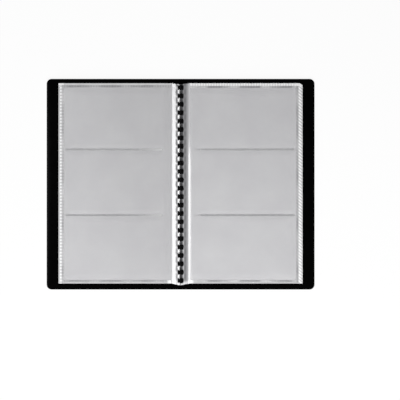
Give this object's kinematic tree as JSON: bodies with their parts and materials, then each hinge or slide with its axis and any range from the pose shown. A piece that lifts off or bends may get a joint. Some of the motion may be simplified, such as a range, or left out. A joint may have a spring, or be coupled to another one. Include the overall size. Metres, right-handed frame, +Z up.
{
  "type": "business card book",
  "caption": "Comb-bound card book lying open: two covers hinge on a spine strip, and punched clear leaves with card pockets turn on the comb's curled fingers",
  "frame": {"origin": "On the table under the middle of the spine strip of the open book", "axes": "+X across the open book from front cover to back cover, +Y up the page to the head, +Z up from the table"},
  "size_m": [0.2416, 0.19, 0.0078],
  "materials": {
    "cover_sheet": "fine embossed grain",
    "comb_plastic": "smooth",
    "leaf_film": "hazy clear film",
    "pocket_film": "clear film",
    "weld_seam": "knurled weld"
  },
  "bodies": {
    "spine": {"spine_strip": "cover_sheet", "binding_comb": "comb_plastic"},
    "front_cover": {"front_cover": "cover_sheet"},
    "back_cover": {"back_cover": "cover_sheet"},
    "leaf_01": {"leaf_01_sheet": "leaf_film", "leaf_01_margin": "leaf_film", "leaf_01_front_film": "pocket_film", "leaf_01_back_film": "pocket_film", "leaf_01_seams": "weld_seam"},
    "leaf_02": {"leaf_02_sheet": "leaf_film", "leaf_02_margin": "leaf_film", "leaf_02_front_film": "pocket_film", "leaf_02_back_film": "pocket_film", "leaf_02_seams": "weld_seam"},
    "leaf_03": {"leaf_03_sheet": "leaf_film", "leaf_03_margin": "leaf_film", "leaf_03_front_film": "pocket_film", "leaf_03_back_film": "pocket_film", "leaf_03_seams": "weld_seam"},
    "leaf_04": {"leaf_04_sheet": "leaf_film", "leaf_04_margin": "leaf_film", "leaf_04_front_film": "pocket_film", "leaf_04_back_film": "pocket_film", "leaf_04_seams": "weld_seam"},
    "leaf_05": {"leaf_05_sheet": "leaf_film", "leaf_05_margin": "leaf_film", "leaf_05_front_film": "pocket_film", "leaf_05_back_film": "pocket_film", "leaf_05_seams": "weld_seam"},
    "leaf_06": {"leaf_06_sheet": "leaf_film", "leaf_06_margin": "leaf_film", "leaf_06_front_film": "pocket_film", "leaf_06_back_film": "pocket_film", "leaf_06_seams": "weld_seam"},
    "leaf_07": {"leaf_07_sheet": "leaf_film", "leaf_07_margin": "leaf_film", "leaf_07_front_film": "pocket_film", "leaf_07_back_film": "pocket_film", "leaf_07_seams": "weld_seam"},
    "leaf_08": {"leaf_08_sheet": "leaf_film", "leaf_08_margin": "leaf_film", "leaf_08_front_film": "pocket_film", "leaf_08_back_film": "pocket_film", "leaf_08_seams": "weld_seam"},
    "leaf_09": {"leaf_09_sheet": "leaf_film", "leaf_09_margin": "leaf_film", "leaf_09_front_film": "pocket_film", "leaf_09_back_film": "pocket_film", "leaf_09_seams": "weld_seam"},
    "leaf_10": {"leaf_10_sheet": "leaf_film", "leaf_10_margin": "leaf_film", "leaf_10_front_film": "pocket_film", "leaf_10_back_film": "pocket_film", "leaf_10_seams": "weld_seam"}
  },
  "joints": [
    {"name": "front_cover_hinge", "type": "hinge", "parent": "spine", "child": "front_cover", "pos_m": [-0.0058, 0, 0.0006], "axis": [0, 1, 0], "range_deg": [0, 90]},
    {"name": "back_cover_hinge", "type": "hinge", "parent": "spine", "child": "back_cover", "pos_m": [0.0058, 0, 0.0006], "axis": [0, -1, 0], "range_deg": [0, 90]},
    {"name": "leaf_01_turn", "type": "hinge", "parent": "spine", "child": "leaf_01", "pos_m": [0, 0, 0.0054], "axis": [0, 1, 0], "range_deg": [0, 90]},
    {"name": "leaf_02_turn", "type": "hinge", "parent": "spine", "child": "leaf_02", "pos_m": [0, 0, 0.0054], "axis": [0, 1, 0], "range_deg": [0, 90]},
    {"name": "leaf_03_turn", "type": "hinge", "parent": "spine", "child": "leaf_03", "pos_m": [0, 0, 0.0054], "axis": [0, 1, 0], "range_deg": [0, 90]},
    {"name": "leaf_04_turn", "type": "hinge", "parent": "spine", "child": "leaf_04", "pos_m": [0, 0, 0.0054], "axis": [0, 1, 0], "range_deg": [0, 90]},
    {"name": "leaf_05_turn", "type": "hinge", "parent": "spine", "child": "leaf_05", "pos_m": [0, 0, 0.0054], "axis": [0, 1, 0], "range_deg": [0, 90]},
    {"name": "leaf_06_turn", "type": "hinge", "parent": "spine", "child": "leaf_06", "pos_m": [0, 0, 0.0054], "axis": [0, -1, 0], "range_deg": [0, 90]},
    {"name": "leaf_07_turn", "type": "hinge", "parent": "spine", "child": "leaf_07", "pos_m": [0, 0, 0.0054], "axis": [0, -1, 0], "range_deg": [0, 90]},
    {"name": "leaf_08_turn", "type": "hinge", "parent": "spine", "child": "leaf_08", "pos_m": [0, 0, 0.0054], "axis": [0, -1, 0], "range_deg": [0, 90]},
    {"name": "leaf_09_turn", "type": "hinge", "parent": "spine", "child": "leaf_09", "pos_m": [0, 0, 0.0054], "axis": [0, -1, 0], "range_deg": [0, 90]},
    {"name": "leaf_10_turn", "type": "hinge", "parent": "spine", "child": "leaf_10", "pos_m": [0, 0, 0.0054], "axis": [0, -1, 0], "range_deg": [0, 90]}
  ],
  "couplings": [
    {"joint": "leaf_01_turn", "follows": "front_cover_hinge", "ratio": 1},
    {"joint": "leaf_02_turn", "follows": "front_cover_hinge", "ratio": 1},
    {"joint": "leaf_03_turn", "follows": "front_cover_hinge", "ratio": 1},
    {"joint": "leaf_04_turn", "follows": "front_cover_hinge", "ratio": 1},
    {"joint": "leaf_05_turn", "follows": "front_cover_hinge", "ratio": 1},
    {"joint": "leaf_06_turn", "follows": "back_cover_hinge", "ratio": 1},
    {"joint": "leaf_07_turn", "follows": "back_cover_hinge", "ratio": 1},
    {"joint": "leaf_08_turn", "follows": "back_cover_hinge", "ratio": 1},
    {"joint": "leaf_09_turn", "follows": "back_cover_hinge", "ratio": 1},
    {"joint": "leaf_10_turn", "follows": "back_cover_hinge", "ratio": 1}
  ]
}
